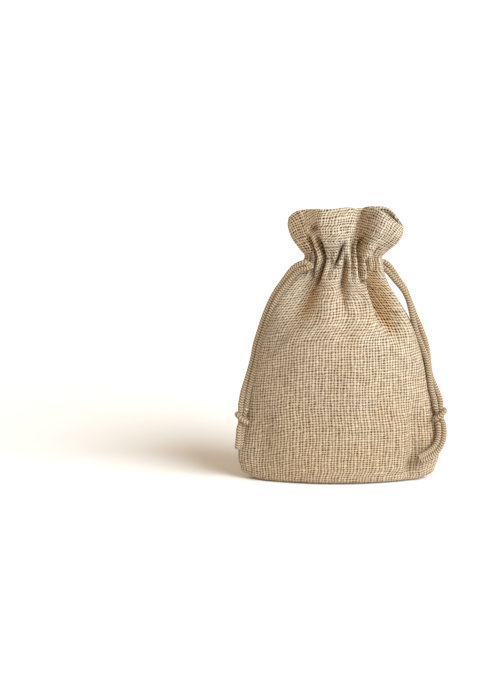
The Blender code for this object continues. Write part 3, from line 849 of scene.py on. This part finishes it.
# %% Helpers for finishes
def linear(hex_colour):
    """An sRGB hex colour as linear red, green, blue and alpha."""
    parts = [int(hex_colour[i:i + 2], 16) / 255 for i in (1, 3, 5)]
    return (*[c / 12.92 if c <= 0.04045 else ((c + 0.055) / 1.055) ** 2.4 for c in parts], 1.0)


def add_node(tree, kind, inputs=(), output=0, **settings):
    """Adds a node and gives one output. Inputs are values or outputs, in order or by socket."""
    node = tree.nodes.new("ShaderNode" + kind)
    for name, value in settings.items():
        setattr(node, name, value)
    for socket, value in inputs.items() if isinstance(inputs, dict) else enumerate(inputs):
        if isinstance(value, bpy.types.NodeSocket):
            tree.links.new(value, node.inputs[socket])
        else:
            node.inputs[socket].default_value = value
    return node.outputs[output]


COLOUR_MIX = {"data_type": "RGBA", "output": 2}   # a Mix node for colours, in its sockets 6 and 7


def weighted_sum(tree, start, *parts):
    """A start and each part times its weight, added up."""
    for part, weight in parts:
        start = add_node(tree, "Math", (part, weight, start), operation="MULTIPLY_ADD")
    return start


def new_finish(name, roughness):
    """A material with the index of refraction of plant fibre, its node tree and its shader."""
    material = bpy.data.materials.new(name)
    material.use_nodes = True
    shader = material.node_tree.nodes["Principled BSDF"]
    shader.inputs["Roughness"].default_value = roughness
    shader.inputs["IOR"].default_value = 1.52
    return material, material.node_tree, shader


# %% [markdown]
# ### Woven burlap
# Burlap is a plain weave of thick, uneven jute yarns: each yarn goes over one and under the next.
# It is dull and slightly hairy, and small square holes between the yarns show the sack's shaded
# inside, painted as dark pinholes. Sines of the yarn counts say where each yarn's middle is and,
# multiplied, which yarn lies on top. A pinhole opens where the gaps of both sets of yarns meet, so
# the cloth is a pale net with dots of painted shade. Noise in the flat cloth's millimetres makes the
# yarns thick and thin and gives each its own tone. Threads of geometry would be far too many faces
# for so small a cloth.

# %% The weave
burlap, tree, shader = new_finish("burlap, plain-woven jute", 0.88)
shader.inputs["Sheen Weight"].default_value = 0.08
shader.inputs["Sheen Roughness"].default_value = 0.6
shader.inputs["Specular IOR Level"].default_value = 0.2
place = add_node(tree, "UVMap", uv_map="cloth_mm")
yarn_counts = add_node(tree, "UVMap", uv_map="yarns")


def yarn_noise(per_mm, detail=2.0, seed=0.0):
    """Noise from 0 to 1, with so many grains a millimetre across and up the flat cloth."""
    moved = add_node(tree, "Mapping", {
        "Vector": place, "Scale": (*per_mm, 1.0), "Location": (seed, seed * 1.7, 0.0),
    })
    return add_node(tree, "TexNoise", {"Vector": moved, "Scale": 1.0, "Detail": detail},
                    output="Fac", noise_dimensions="2D")


# The wave of each set of yarns is 1 or -1 in the middle of a yarn and 0 in a gap. Warps come first.
waves, backs, gaps = [], [], []
for which, grains, seed in ((0, (0.5, 0.12), 3.1), (1, (0.12, 0.5), 8.4)):
    number = add_node(tree, "SeparateXYZ", (yarn_counts,), output=which)
    wander = add_node(tree, "Math", (yarn_noise(grains, seed=seed), 0.5), operation="SUBTRACT")
    wandering = add_node(tree, "Math", (number, wander), operation="ADD")
    turn = add_node(tree, "Math", (wandering, math.pi), operation="MULTIPLY")
    wave = add_node(tree, "Math", (turn,), operation="SINE")
    back = add_node(tree, "Math", (wave, wave), operation="MULTIPLY")
    waves.append(wave)
    backs.append(back)
    gaps.append(add_node(tree, "Math", (1.0, back), operation="SUBTRACT"))
crown = add_node(tree, "Math", backs, operation="MULTIPLY")
over_under = add_node(tree, "Math", waves, operation="MULTIPLY")
warp_on_top = add_node(tree, "MapRange", (over_under, -0.6, 0.6))
weft_on_top = add_node(tree, "Math", (1.0, warp_on_top), operation="SUBTRACT")
warp_seen = add_node(tree, "Math", (backs[0], warp_on_top), operation="MULTIPLY")
weft_seen = add_node(tree, "Math", (backs[1], weft_on_top), operation="MULTIPLY")
is_warp = add_node(tree, "Math", (warp_seen, weft_seen), operation="GREATER_THAN")
both_gaps = add_node(tree, "Math", gaps, operation="MULTIPLY")
slack = weighted_sum(
    tree, yarn_noise((0.16, 0.85), seed=5.7), (yarn_noise((0.75, 0.16), seed=1.3), 1.0))
tightness = add_node(tree, "MapRange", (slack, 0.7, 1.3, 0.7, 1.35))
hole = add_node(tree, "Math", (both_gaps, tightness), operation="POWER")

# %% [markdown]
# The colour is laid on in turn: the yarn's tone, grey blotches, pale fibres with painted highlights
# on the yarns' crowns, and holes of painted shade from the sack's inside. The weave opens towards the
# free edge. The pleats' slopes that face away from the key light and the ruffle's left lobe get a
# brown painted shade, with stronger painted highlights and holes, and the cloth is browner towards
# the bottom.

# %% Colour and relief of the burlap
# Painted shade: the darkest colour stands for the sack's shaded inside, seen through the pinholes.
HOLE_SHADE, YARN, PALE_FIBRE_AND_HIGHLIGHT = linear("#3a220b"), linear("#a48a64"), linear("#dacfbc")
YARN_GREY, YARN_RED = linear("#9c917c"), linear("#9c794f")
PLEAT_SHADE = linear("#ffe6c4")     # painted shade: what a slope turned away from the light takes from the colour
BOTTOM_BROWN = linear("#f8f0e6")   # what the colour loses towards the bottom
BROWNER_BELOW = (25.0, 85.0)              # millimetres up the cloth between which that fades out
FREE_EDGE = (118.0, 138.0)          # the same, where the weave opens towards the edge
BLOTCHED = 0.5                      # the most that a blotch takes of the grey

warp_shade, weft_shade = yarn_noise((0.72, 0.03), 3.0, 12.0), yarn_noise((0.03, 0.84), 3.0, 17.0)
shade = add_node(tree, "Mix", {0: is_warp, 2: weft_shade, 3: warp_shade})
fibre = yarn_noise((2.4, 2.4), 3.0, 21.0)
blotch = yarn_noise((0.045, 0.045), 3.0, 30.0)
tuft = yarn_noise((0.9, 0.9), 2.0, 44.0)
# How much painted shade a point gets on a slope turned away from the key light.
slope_shade = add_node(tree, "Attribute", output="Fac", attribute_name="painted_shade")
up_cloth = add_node(tree, "SeparateXYZ", (place,), output=1)
free = add_node(tree, "MapRange", (up_cloth, *FREE_EDGE))
# Pale fibres and tufts, with painted highlights on the yarns' crowns and a little more on the warps.
fibres_and_highlight = weighted_sum(tree, 0.0, (tuft, 0.5), (warp_on_top, 0.1), (crown, 0.45), (fibre, 0.8))
# The painted highlights grow stronger in the shaded pleats and towards the free edge.
full_highlight = weighted_sum(tree, 1.3, (free, -0.12), (slope_shade, -0.3))
# The holes' painted shade grows in the shaded pleats and towards the free edge.
full_hole_shade = weighted_sum(tree, 0.95, (free, -0.2), (slope_shade, -0.42))
towards_bottom = add_node(tree, "MapRange", (up_cloth, *BROWNER_BELOW, 1.0, 0.0))
colour = YARN_RED
for ranged, over in (
    ((shade, 0.32, 0.68), YARN), ((blotch, 0.35, 0.75, 0.0, BLOTCHED), YARN_GREY),
    ((fibres_and_highlight, 0.5, full_highlight), PALE_FIBRE_AND_HIGHLIGHT), ((hole, 0.15, full_hole_shade), HOLE_SHADE),
):
    share = add_node(tree, "MapRange", ranged)
    colour = add_node(tree, "Mix", {0: share, 6: colour, 7: over}, **COLOUR_MIX)
# Painted brown shade on the slopes turned away from the key light; the cloth is also browner towards the
# bottom.
for share, brown in ((towards_bottom, BOTTOM_BROWN), (slope_shade, PLEAT_SHADE)):
    colour = add_node(tree, "Mix", {0: share, 6: colour, 7: brown}, blend_type="MULTIPLY", **COLOUR_MIX)
tree.links.new(colour, shader.inputs["Base Color"])
relief = weighted_sum(tree, 0.0, (hole, -1.0), (crown, 0.35), (warp_on_top, 0.15), (fibre, 0.25))
bump = add_node(tree, "Bump", {"Strength": 0.75, "Distance": 0.3 * MM, "Height": relief})
tree.links.new(bump, shader.inputs["Normal"])
sack.data.materials.append(burlap)
print("woven finish on", sack.name)

# %% [markdown]
# ### Braided cord
# The drawstring is a soft braided cord of fine plaits, a little greyer and smoother than the cloth.
# The tube's own ribs give its shape. The finish paints shade into the grooves between the plaits
# and highlights on their backs, and breaks both up with the fine grain of the filaments.

# %% Braided cord
# Painted shade for the grooves, the cord's own colour, and painted highlight for the plaits' backs.
CORD_GROOVE_SHADE, CORD_MID, CORD_RIB_HIGHLIGHT = linear("#7c654c"), linear("#a08769"), linear("#c8b69b")
braid, tree, shader = new_finish("drawstring, braided cord", 0.8)
shader.inputs["Sheen Weight"].default_value = 0.15
shader.inputs["Specular IOR Level"].default_value = 0.25
FILAMENTS = 3.0   # grains of the filaments' noise to a millimetre
place = add_node(tree, "UVMap", uv_map="cord_mm")
along_cord = add_node(tree, "SeparateXYZ", (place,), output=0)
round_cord = add_node(tree, "SeparateXYZ", (place,), output=1)
row_count = add_node(
    tree, "Math", (round_cord, ROWS_ROUND / (math.pi * CORD)), operation="MULTIPLY")
across_row = add_node(tree, "Math", (row_count,), operation="FRACT")
off_middle = add_node(tree, "Math", (across_row, 0.5), operation="SUBTRACT")
lean = add_node(tree, "Math", (off_middle,), operation="ABSOLUTE")
rib_count = weighted_sum(tree, 0.0, (lean, CHEVRON), (along_cord, 1.0 / RIB_PITCH))
rib_turn = add_node(tree, "Math", (rib_count, 2 * math.pi), operation="MULTIPLY")
plait = add_node(tree, "Math", (rib_turn,), operation="COSINE")
scaled = add_node(tree, "Mapping", {"Vector": place, "Scale": (FILAMENTS, FILAMENTS, 1.0)})
grain = add_node(tree, "TexNoise", {"Vector": scaled, "Scale": 1.0, "Detail": 3.0},
                 output="Fac", noise_dimensions="2D")
height = weighted_sum(tree, plait, (grain, 0.6))
# Painted shade in the grooves and painted highlight on the plaits' backs, broken up by the filaments' grain.
colour = CORD_GROOVE_SHADE
for low, high, over in ((-0.6, 0.5, CORD_MID), (0.5, 1.4, CORD_RIB_HIGHLIGHT)):
    share = add_node(tree, "MapRange", (height, low, high))
    colour = add_node(tree, "Mix", {0: share, 6: colour, 7: over}, **COLOUR_MIX)
tree.links.new(colour, shader.inputs["Base Color"])
bump = add_node(tree, "Bump", {"Strength": 0.8, "Distance": 0.15 * MM, "Height": height})
tree.links.new(bump, shader.inputs["Normal"])
for strand in strands:
    strand.data.materials.append(braid)
print("braided finish on", len(strands), "strands")

# %% [markdown]
# ## Floor and light
# The sack stands on a plain pale floor. One broad, low and slightly cool key light comes from the
# right front, and an even, warm and pale surround fills the shaded side. A sun as wide as a softbox
# lights the whole sack alike, which a lamp near it would not.

# %% Floor
FLOOR_SIZE, FLOOR_GAP = 40.0, 0.0004   # metres: how wide it is, and how far below the cloth
bpy.ops.object.select_all(action="DESELECT")
bpy.ops.mesh.primitive_plane_add(size=FLOOR_SIZE, location=(0.0, 0.0, -FLOOR_GAP))
floor = bpy.context.object
floor.name = "floor"
floor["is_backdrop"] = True
paper, tree, shader = new_finish("studio paper, matt", 0.9)
shader.inputs["Base Color"].default_value = linear("#fefefe")
shader.inputs["Specular IOR Level"].default_value = 0.1
floor.data.materials.append(paper)

# %% Lights
SUN_SIDE, SUN_HEIGHT = math.radians(48.0), math.radians(31.0)   # to the right of the camera, and up
SUN_STRENGTH, SUN_WIDTH = 4.35, math.radians(46.0)
SUN_TINT = (0.84, 0.93, 1.0)   # linear red, green and blue
SURROUND, SURROUND_STRENGTH = linear("#ffe8cc"), 0.58
lamp = bpy.data.lights.new("soft key light", "SUN")
lamp.energy, lamp.angle, lamp.color = SUN_STRENGTH, SUN_WIDTH, SUN_TINT
key = bpy.data.objects.new("soft key light", lamp)
bpy.context.scene.collection.objects.link(key)
towards = Vector((
    math.sin(SUN_SIDE) * math.cos(SUN_HEIGHT), -math.cos(SUN_SIDE) * math.cos(SUN_HEIGHT),
    math.sin(SUN_HEIGHT),
))
key.rotation_euler = towards.to_track_quat("Z", "Y").to_euler()
world = bpy.data.worlds.new("pale surround")
world.use_nodes = True
world.node_tree.nodes["Background"].inputs["Color"].default_value = SURROUND
world.node_tree.nodes["Background"].inputs["Strength"].default_value = SURROUND_STRENGTH
bpy.context.scene.world = world
bpy.context.scene.view_settings.view_transform = "Standard"
print("key light", round(math.degrees(SUN_SIDE)), "degrees to the right")

# %% [markdown]
# ## Finish
# The visual model is meant to keep the solids' size, so both boxes are printed. The visual model
# has to keep the solids' size.

# %% Sizes and finish
boxes = {"cad": [list(corner) for corner in cad_box], "visual": [list(corner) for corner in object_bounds()]}
print({name: [[round(c / MM, 1) for c in corner] for corner in box] for name, box in boxes.items()})
